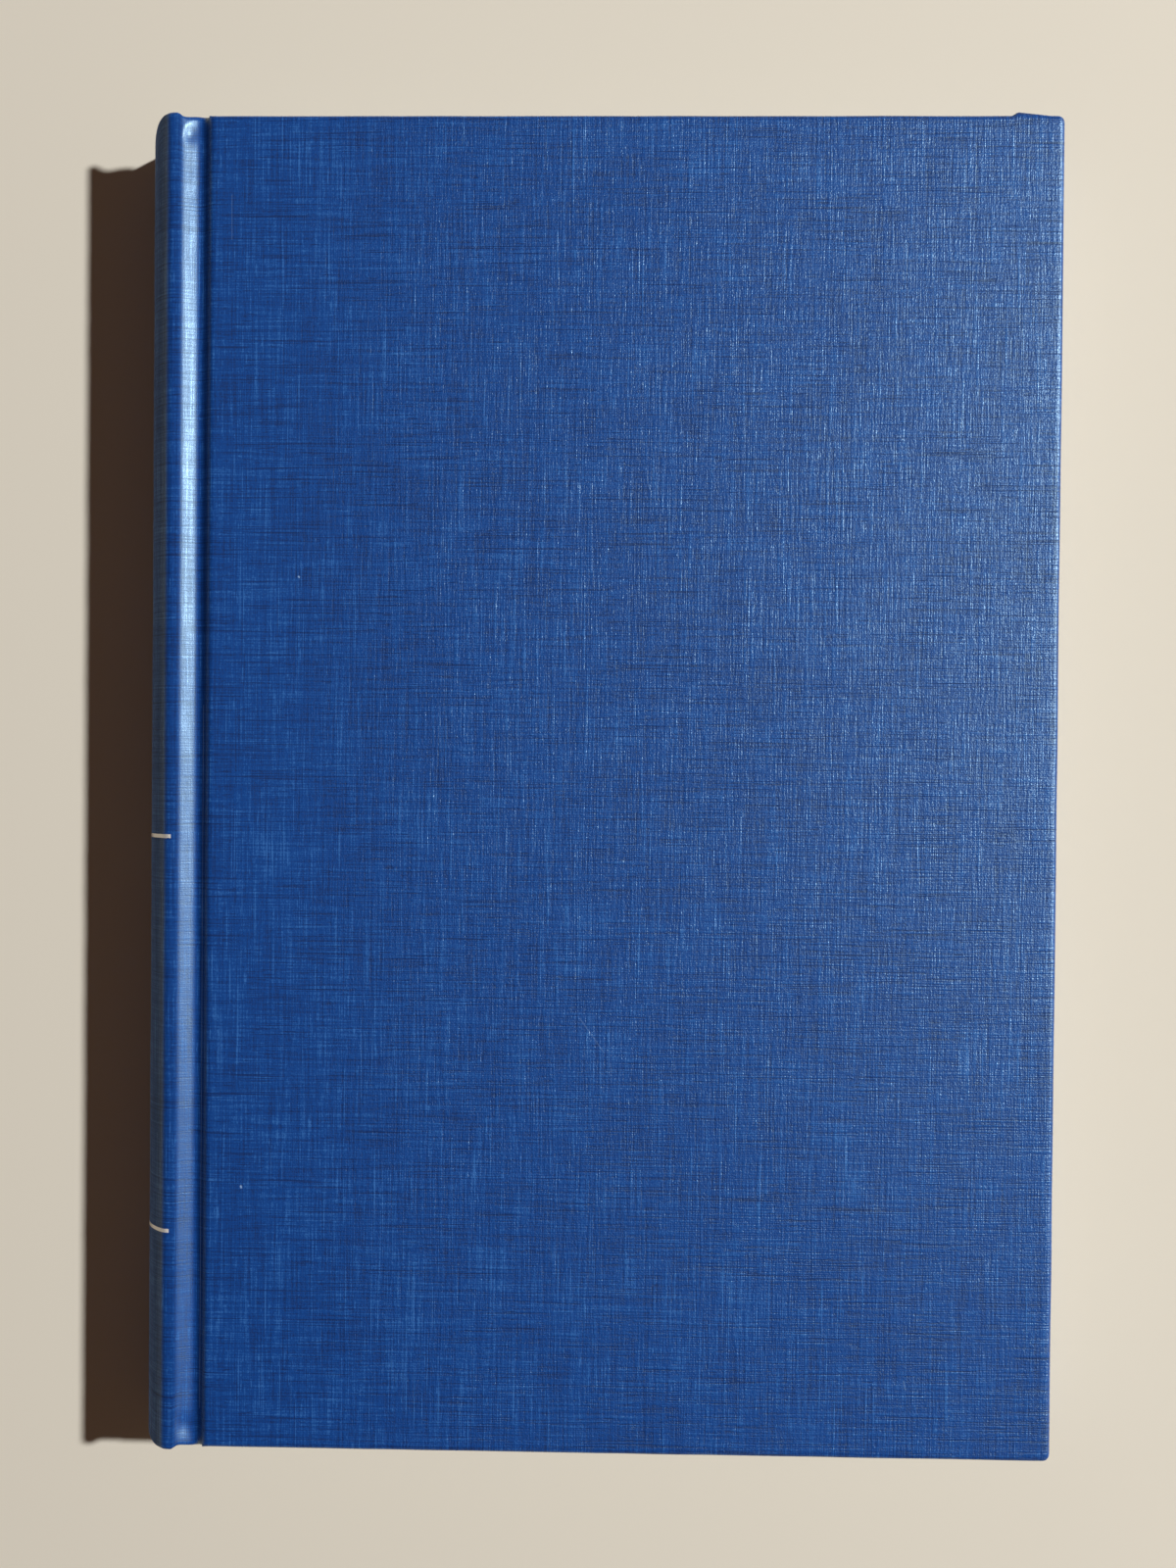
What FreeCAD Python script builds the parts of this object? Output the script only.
"""A hardback book lying closed on its back cover.

The spine is at -X, the fore edge at +X and the head at +Y, with +Z up. The origin is the bottom
centre of the whole book. All sizes are in millimetres.

The covers turn on the two grooves beside the spine, so the one sheet of cloth, the gauze and the
endpapers are each divided at the bottom of the groove, where the real ones flex.
"""
import FreeCAD, Part
import math
import os

from FreeCAD import Vector

# Boards of the case
board_height = 235.0
board_width = 149.2
board_thickness = 2.5
board_edge_round = 0.5
board_corner_round = 0.8

# Covering cloth, with its turn-ins mitred at the fore-edge corners
cloth_thickness = 0.4
turn_in = 15.0
mitre_gap = 0.2
fold_length = 9.0
fold_height = 0.7
fold_slope = 1.0

# Text block, which the boards pass by the square on three sides
text_thickness = 12.6
square = 3.2
fore_edge_hollow = 3.5
shoulder_round = 0.5
gutter_round = 3.0

# Endpapers
paper_thickness = 0.15
paste_margin = 3.0
closing_gap = 0.1
paper_fold_inset = 0.4

# Round of the spine, its two ridges and the grooves beside the boards
ridge_from_board = 6.2
ridge_drop = 0.3
ridge_radius = 2.0
spine_bulge = 5.4
groove_radius = 1.2

# Spine card and the linings on the back of the text block
inlay_thickness = 0.5
hollow_gap = 0.2
liner_thickness = 0.3
liner_end_gap = 1.0
glue_line = 0.05
gauze_thickness = 0.25
gauze_round = 0.8
gauze_end_gap = 14.0
gauze_flange = 25.0

# Head and tail bands
bead_diameter = 1.8
band_tape_height = 10.0
band_end_angle = 6.0

# Caps at the ends of the spine, knocked round at the head and blunted at the tail
cap_rise = 0.7
head_cap_inset = 3.5
head_cap_length = 5.5
tail_cap_inset = 3.0
tail_cap_length = 2.3

# Foil rules stamped across the spine
rule_width = 0.7
rule_depth = 0.1
rule_places = (-9.6, -79.4)

# Levels, from the bottom up; the front cover is worked out and the back cover mirrors it
cover_thickness = 2 * cloth_thickness + board_thickness + paper_thickness
overall_thickness = text_thickness + 2 * (cover_thickness + closing_gap + paper_thickness)
mid_level = overall_thickness / 2
board_top = overall_thickness - cloth_thickness
board_underside = board_top - board_thickness
turn_in_underside = board_underside - cloth_thickness
gauze_underside = board_underside - gauze_thickness
text_top = mid_level + text_thickness / 2

# Places across the book, from the tip of the spine to the fore edge
cover_width = board_width + 2 * cloth_thickness
overall_width = spine_bulge + ridge_from_board + cover_width
spine_tip = -overall_width / 2
cover_fore_edge = overall_width / 2
ridge_x = spine_tip + spine_bulge
cover_spine_edge = ridge_x + ridge_from_board
board_spine_edge = cover_spine_edge + cloth_thickness
board_fore_edge = cover_fore_edge - cloth_thickness
text_fore_edge = board_fore_edge - square
joint_x = cover_spine_edge - groove_radius

# Places along the spine, from the middle towards the head
board_half = board_height / 2
cover_half = board_half + cloth_thickness
cap_half = cover_half + cap_rise
text_half = board_half - square
gauze_half = text_half - gauze_end_gap
turn_in_half = board_half - turn_in

# Depths of the layers below the face of the cloth, at the back of the spine
inlay_depth = cloth_thickness + inlay_thickness
turn_in_depth = inlay_depth + cloth_thickness
liner_depth = turn_in_depth + hollow_gap
gauze_depth = liner_depth + liner_thickness
text_depth = gauze_depth + gauze_thickness

# Depths of the layers on the flank, between the ridge and the groove
gauze_flank_depth = cloth_thickness
fold_flank_depth = gauze_flank_depth + gauze_thickness
leaf_flank_depth = fold_flank_depth + paper_thickness
text_flank_depth = leaf_flank_depth + paper_thickness


def spine_back_radius():
    """Radius of the round that touches the tip of the spine and both ridges."""
    rise = mid_level - ridge_drop
    top = spine_bulge ** 2 + rise ** 2 - 2 * rise * ridge_radius
    return top / (2 * (spine_bulge - ridge_radius))


back_radius = spine_back_radius()
back_centre = Vector(spine_tip + back_radius, 0, mid_level)
ridge_centre = Vector(ridge_x, 0, overall_thickness - ridge_drop - ridge_radius)
groove_centre = Vector(joint_x, 0, overall_thickness - board_thickness + groove_radius)

# The flank is the straight line that touches the ridge from above and the groove from below
centre_line = groove_centre - ridge_centre
flank_slope = math.asin((ridge_radius + groove_radius) / centre_line.Length)
flank_slope = flank_slope - math.atan2(centre_line.z, centre_line.x)
flank_along = Vector(math.cos(flank_slope), 0, -math.sin(flank_slope))
flank_normal = Vector(math.sin(flank_slope), 0, math.cos(flank_slope))


def box(x_low, x_high, y_low, y_high, z_low, z_high):
    """A box between two corners."""
    return Part.makeBox(x_high - x_low, y_high - y_low, z_high - z_low, Vector(x_low, y_low, z_low))


def line(start, end):
    """A straight edge."""
    return Part.LineSegment(start, end).toShape()


def arc_about(centre, start, end):
    """The shorter arc from start to end about a centre."""
    towards = (start - centre) + (end - centre)
    middle = centre + towards.normalize() * (start - centre).Length
    return Part.Arc(start, middle, end).toShape()


def mirrored(shape):
    """The same shape on the other half of the book, below its middle plane."""
    return shape.mirror(Vector(0, 0, mid_level), Vector(0, 0, 1))


def both_halves(edges):
    """The upper edges of a section and the same edges below the middle plane."""
    lower = []
    for edge in edges:
        first, last = edge.ParameterRange
        places = [edge.valueAt(value) for value in (first, (first + last) / 2, last)]
        below = [Vector(place.x, place.y, 2 * mid_level - place.z) for place in places]
        if isinstance(edge.Curve, Part.Circle):
            lower.append(Part.Arc(*below).toShape())
        else:
            lower.append(line(below[0], below[2]))
    return edges + lower


def prism(edges, y_low, y_high):
    """The closed section that the edges bound, drawn out along the spine."""
    face = Part.Face(Part.Wire(Part.__sortEdges__(edges)))
    face.translate(Vector(0, y_low, 0))
    return face.extrude(Vector(0, y_high - y_low, 0))


class SpineCurve:
    """Upper half of the spine's section at one depth below the face of the cloth.

    It runs from the tip of the round over the ridge and down the flank to the groove. The back and
    the flank have depths of their own, because the spine card and linings lie on the back alone.
    """

    def __init__(self, back_depth, flank_depth, ridge):
        radius = back_radius - back_depth
        self.flank_reach = groove_radius + flank_depth
        foot = groove_centre - flank_normal * (self.flank_reach + ridge)
        offset = foot - back_centre
        run = offset.dot(flank_along)
        run = run + math.sqrt(run ** 2 - offset.Length ** 2 + (radius - ridge) ** 2)
        self.ridge_middle = foot - flank_along * run
        outward = self.ridge_middle - back_centre
        self.tip = back_centre - Vector(radius, 0, 0)
        self.back_end = back_centre + outward.normalize() * radius
        self.flank_start = self.ridge_middle + flank_normal * ridge
        self.flank_end = groove_centre - flank_normal * self.flank_reach
        self.groove_bottom = groove_centre - Vector(0, 0, self.flank_reach)

    def over_ridge(self):
        """Edges from the tip to the top of the flank."""
        back = arc_about(back_centre, self.tip, self.back_end)
        return [back, arc_about(self.ridge_middle, self.back_end, self.flank_start)]

    def to_groove(self):
        """Edges from the tip to the bottom of the groove."""
        flank = line(self.flank_start, self.flank_end)
        groove = arc_about(groove_centre, self.flank_end, self.groove_bottom)
        return self.over_ridge() + [flank, groove]

    def end_angle(self):
        """Angle in degrees, about the back's centre, from the tip to the end of the round."""
        reach = self.back_end - back_centre
        return math.degrees(math.atan2(reach.z, -reach.x))


cloth_face = SpineCurve(0, 0, ridge_radius)
cloth_back = SpineCurve(cloth_thickness, cloth_thickness, ridge_radius - cloth_thickness)
inlay_back = SpineCurve(inlay_depth, inlay_depth, ridge_radius - inlay_depth)
turn_in_back = SpineCurve(turn_in_depth, turn_in_depth, ridge_radius - turn_in_depth)
gauze_face = SpineCurve(gauze_depth, gauze_flank_depth, gauze_round + gauze_thickness)
gauze_back = SpineCurve(text_depth, fold_flank_depth, gauze_round)
text_face = SpineCurve(text_depth, text_flank_depth, shoulder_round)


def ridge_layer(outer, inner, y_low, y_high):
    """A layer of the spine between two curves, from ridge to ridge."""
    upper = outer.over_ridge() + inner.over_ridge() + [line(outer.flank_start, inner.flank_start)]
    return prism(both_halves(upper), y_low, y_high)


def groove_layer(outer, inner, y_low, y_high):
    """A layer of the spine between two curves, from groove to groove."""
    upper = outer.to_groove() + inner.to_groove() + [line(outer.groove_bottom, inner.groove_bottom)]
    return prism(both_halves(upper), y_low, y_high)


def on_round(depth, angle):
    """Point of the round at a depth below the cloth and an angle above the tip."""
    turn = math.radians(angle)
    return back_centre + Vector(-math.cos(turn), 0, math.sin(turn)) * (back_radius - depth)


def round_layer(outer_depth, inner_depth, angle, y_low, y_high):
    """A layer on the round alone, reaching an angle above and below the tip."""
    edges = []
    for depth in (outer_depth, inner_depth):
        ends = [on_round(depth, turn) for turn in (angle, 0, -angle)]
        edges.append(Part.Arc(*ends).toShape())
    for turn in (angle, -angle):
        edges.append(line(on_round(outer_depth, turn), on_round(inner_depth, turn)))
    return prism(edges, y_low, y_high)


def spine_plan(inset, half_length):
    """Plan of the spine as a tall prism, with the corners of the caps rounded off."""
    tip = spine_tip + inset
    corners = ((half_length, head_cap_inset, head_cap_length),
               (-half_length, tail_cap_inset, tail_cap_length))
    plan = box(tip, cover_spine_edge, -half_length, half_length, 0, overall_thickness)
    for end, across, along in corners:
        side = math.copysign(1, end)
        middle = Vector(tip + across, end - side * along, 0)
        corner = box(tip, middle.x, min(middle.y, end), max(middle.y, end), 0, overall_thickness)
        plan = plan.cut(corner).fuse(oval_post(middle, across, along).common(corner))
    return plan


def oval_post(middle, across, along):
    """An upright post with an oval plan."""
    tall = along >= across
    if tall:
        far = middle + Vector(0, along, 0)
        near = middle + Vector(across, 0, 0)
    else:
        far = middle + Vector(across, 0, 0)
        near = middle + Vector(0, along, 0)
    oval = Part.Ellipse(far, near, middle).toShape()
    return Part.Face(Part.Wire([oval])).extrude(Vector(0, 0, overall_thickness))


def make_spine_inlay():
    """Card in the spine of the case, under the cloth from ridge to ridge."""
    card = ridge_layer(cloth_back, inlay_back, -board_half, board_half)
    return card.common(spine_plan(cloth_thickness, cap_half - cloth_thickness))


def make_foil_rules():
    """Two foil rules across the spine, lying in the grooves that the stamp left."""
    depth_curve = SpineCurve(rule_depth, rule_depth, ridge_radius - rule_depth)
    bars = []
    for place in rule_places:
        low = place - rule_width / 2
        bars.append(ridge_layer(cloth_face, depth_curve, low, low + rule_width))
    return Part.makeCompound(bars)


def make_spine_cloth():
    """Cloth over the spine and down into both grooves, turned in over the card at both ends."""
    cover = groove_layer(cloth_face, cloth_back, -cover_half, cover_half)
    for side in (-1, 1):
        ends = sorted((side * turn_in_half, side * cap_half))
        cover = cover.fuse(ridge_layer(cloth_face, turn_in_back, *ends))
    cover = cover.common(spine_plan(0, cap_half))
    return cover.cut(make_spine_inlay()).cut(make_foil_rules()).removeSplitter()


def make_spine_liner():
    """Paper lining on the back of the text block, over the gauze and the bands' tapes."""
    reach = text_half - liner_end_gap
    return round_layer(liner_depth, gauze_depth - glue_line, turn_in_back.end_angle(), -reach, reach)


def make_spine_gauze():
    """Gauze glued on the back of the text block, over its shoulders and out to the grooves."""
    return groove_layer(gauze_face, gauze_back, -gauze_half, gauze_half)


def make_band(side):
    """Head band (side 1) or tail band (side -1): a bead on the pages and a tape on the back."""
    angle = text_face.end_angle() - band_end_angle
    bead_radius = bead_diameter / 2
    seat = side * text_half
    bead_middle = seat + side * bead_radius
    start = on_round(gauze_depth + bead_radius, -angle) + Vector(0, bead_middle, 0)
    turn = math.radians(-angle)
    tangent = Vector(math.sin(turn), 0, math.cos(turn))
    disc = Part.Face(Part.Wire([Part.makeCircle(bead_radius, start, tangent)]))
    bead = disc.revolve(back_centre, Vector(0, 1, 0), 2 * angle)
    ends = sorted((seat - side * band_tape_height, bead_middle))
    tape = round_layer(gauze_depth, text_depth - glue_line, angle, *ends)
    return bead.fuse(tape).removeSplitter()


def gutter(radius):
    """Start and end of the curve from the flank into the flat of the pages, at one radius."""
    centre_z = text_top + gutter_round
    reach = gutter_round - groove_radius - text_flank_depth
    centre_x = groove_centre.x + (reach - (centre_z - groove_centre.z) * flank_normal.z) / flank_normal.x
    centre = Vector(centre_x, 0, centre_z)
    return centre, centre - flank_normal * radius, centre - Vector(0, 0, radius)


def make_text_block():
    """The pages: round backed with flared shoulders, and hollow at the fore edge."""
    centre, start, end = gutter(gutter_round)
    fore = Vector(text_fore_edge, 0, text_top)
    upper = text_face.over_ridge()
    upper.append(line(text_face.flank_start, start))
    upper.append(arc_about(centre, start, end))
    upper.append(line(end, fore))
    hollow = Vector(text_fore_edge - fore_edge_hollow, 0, mid_level)
    fore_edge = Part.Arc(fore, hollow, fore - Vector(0, 0, text_thickness)).toShape()
    return prism(both_halves(upper) + [fore_edge], -text_half, text_half)


def make_front_flyleaf():
    """Free leaf of the front endpaper, with the fold that runs up the flank to the groove."""
    centre, start, end = gutter(gutter_round)
    raised_start, raised_end = gutter(gutter_round - paper_thickness)[1:]
    fold = text_face.flank_start + flank_along * paper_fold_inset
    fold_top = fold + flank_normal * paper_thickness
    fore = Vector(text_fore_edge, 0, text_top)
    fore_top = fore + Vector(0, 0, paper_thickness)
    leaf = [line(fold, start), arc_about(centre, start, end), line(end, fore), line(fore, fore_top),
            line(fore_top, raised_end), arc_about(centre, raised_end, raised_start),
            line(raised_start, fold_top), line(fold_top, fold)]
    outer = SpineCurve(text_depth, fold_flank_depth, shoulder_round)
    inner = SpineCurve(text_depth, leaf_flank_depth, shoulder_round)
    crease = fold_top + flank_normal * paper_thickness
    hinge = [line(crease, outer.flank_end), line(fold_top, inner.flank_end), line(crease, fold_top),
             arc_about(groove_centre, outer.flank_end, outer.groove_bottom),
             arc_about(groove_centre, inner.flank_end, inner.groove_bottom),
             line(outer.groove_bottom, inner.groove_bottom)]
    sheet = prism(leaf, -text_half, text_half)
    return sheet.fuse(prism(hinge, -text_half, text_half)).removeSplitter()


def softened_board(grow, z_low, z_high):
    """A board grown by a skin on its four sides, with soft outer edges and fore-edge corners."""
    slab = box(board_spine_edge - grow, board_fore_edge + grow,
               -board_half - grow, board_half + grow, z_low, z_high)
    corners = [edge for edge in slab.Edges
               if edge.BoundBox.ZLength > edge.BoundBox.XLength + edge.BoundBox.YLength
               and edge.BoundBox.XMin > 0]
    slab = slab.makeFillet(board_corner_round + grow, corners)
    rim = [edge for edge in slab.Edges if edge.BoundBox.ZMin > z_high - board_edge_round / 2]
    return slab.makeFillet(board_edge_round + grow, rim)


def make_front_board():
    """Front board of the case."""
    return softened_board(0, board_underside, board_top)


def turn_in_strips():
    """The cloth's turn-ins on the inside of the front board, as head, tail and fore-edge strips."""
    fore_strip = board_fore_edge - turn_in
    levels = (turn_in_underside, board_underside)
    return [box(cover_spine_edge, board_fore_edge, turn_in_half, board_half, *levels),
            box(cover_spine_edge, board_fore_edge, -board_half, -turn_in_half, *levels),
            box(fore_strip, board_fore_edge, -board_half, board_half, *levels)]


def mitre_slits():
    """Thin slots along the mitres of the turn-ins at the two fore-edge corners."""
    length = turn_in * math.sqrt(2) + mitre_gap
    slits = []
    for side in (-1, 1):
        slit = box(-length, 0, -mitre_gap / 2, mitre_gap / 2, turn_in_underside, board_underside)
        slit.rotate(Vector(0, 0, 0), Vector(0, 0, 1), side * 45)
        slit.translate(Vector(board_fore_edge, side * board_half, 0))
        slits.append(slit)
    return slits


def corner_fold():
    """Lump of folded cloth on the head edge, tapering to the fore-edge corner."""
    start = cover_fore_edge - fold_length
    end = board_fore_edge - board_corner_round
    root = cover_half - cloth_thickness / 2
    level = turn_in_underside + cloth_thickness
    outline = [(start, root), (start, cover_half), (start + fold_slope, cover_half + fold_height),
               (end, cover_half), (end, root), (start, root)]
    face = Part.Face(Part.makePolygon([Vector(x, y, level) for x, y in outline]))
    return face.extrude(Vector(0, 0, board_thickness / 2))


def make_cover_cloth():
    """Cloth round the front board, with turn-ins and the strip that runs down into the groove."""
    skin = softened_board(cloth_thickness, turn_in_underside, overall_thickness)
    skin = skin.cut(make_front_board())
    pocket = box(cover_spine_edge, board_fore_edge - turn_in,
                 -turn_in_half, turn_in_half, turn_in_underside, board_underside)
    skin = skin.cut(pocket)
    for slit in mitre_slits():
        skin = skin.cut(slit)
    bottom = cloth_face.groove_bottom
    wall_top = Vector(cover_spine_edge, 0, groove_centre.z)
    inner_top = Vector(board_spine_edge, 0, groove_centre.z)
    inner_bottom = Vector(board_spine_edge, 0, board_underside)
    heel = Vector(joint_x, 0, board_underside)
    strip = prism([arc_about(groove_centre, bottom, wall_top), line(wall_top, inner_top),
                   line(inner_top, inner_bottom), line(inner_bottom, heel), line(heel, bottom)],
                  -cover_half, cover_half)
    return skin.fuse(strip).removeSplitter()


def gauze_plate():
    """Place of the gauze on the inside of the front board and under the groove."""
    return box(joint_x, board_spine_edge + gauze_flange,
               -gauze_half, gauze_half, gauze_underside, board_underside)


def swollen(support):
    """A box grown by the paper's thickness on its sides and underneath."""
    bounds = support.BoundBox
    return box(bounds.XMin - paper_thickness, bounds.XMax + paper_thickness,
               bounds.YMin - paper_thickness, bounds.YMax + paper_thickness,
               bounds.ZMin - paper_thickness, bounds.ZMax)


def make_front_pastedown():
    """Pasted half of the endpaper, following the board, the gauze and the turn-ins."""
    margin = paste_margin + cloth_thickness
    sheet_half = cover_half - margin
    extent = box(joint_x, cover_fore_edge - margin, -sheet_half, sheet_half,
                 turn_in_underside - paper_thickness, board_underside)
    under_board = box(joint_x, cover_fore_edge, -board_half, board_half, board_underside, board_top)
    supports = [under_board, gauze_plate()] + turn_in_strips()
    paper = swollen(supports[0])
    for support in supports[1:]:
        paper = paper.fuse(swollen(support))
    for support in supports:
        paper = paper.cut(support)
    return paper.common(extent).removeSplitter()


def build_parts():
    """Every piece of the book by name."""
    board = make_front_board()
    cloth = make_cover_cloth()
    gauze = gauze_plate()
    pastedown = make_front_pastedown()
    flyleaf = make_front_flyleaf()
    return {
        "text_block": make_text_block(),
        "front_flyleaf": flyleaf,
        "back_flyleaf": mirrored(flyleaf),
        "spine_gauze": make_spine_gauze(),
        "spine_liner": make_spine_liner(),
        "headband": make_band(1),
        "tailband": make_band(-1),
        "spine_inlay": make_spine_inlay(),
        "spine_cloth": make_spine_cloth(),
        "foil_rules": make_foil_rules(),
        "front_board": board,
        "front_cloth": cloth.fuse(corner_fold()).removeSplitter(),
        "front_gauze": gauze,
        "front_pastedown": pastedown,
        "back_board": mirrored(board),
        "back_cloth": mirrored(cloth),
        "back_gauze": mirrored(gauze),
        "back_pastedown": mirrored(pastedown),
    }


os.makedirs("parts", exist_ok=True)
for name, shape in build_parts().items():
    shape.exportStep("parts/" + name + ".step")
    size = shape.BoundBox
    print(name, shape.isValid(), len(shape.Solids), round(shape.Volume, 2),
          [round(value, 3) for value in (size.XMin, size.XMax, size.YMin, size.YMax, size.ZMin, size.ZMax)])
print("front hinge x", round(joint_x, 3), "z", round(overall_thickness, 3))
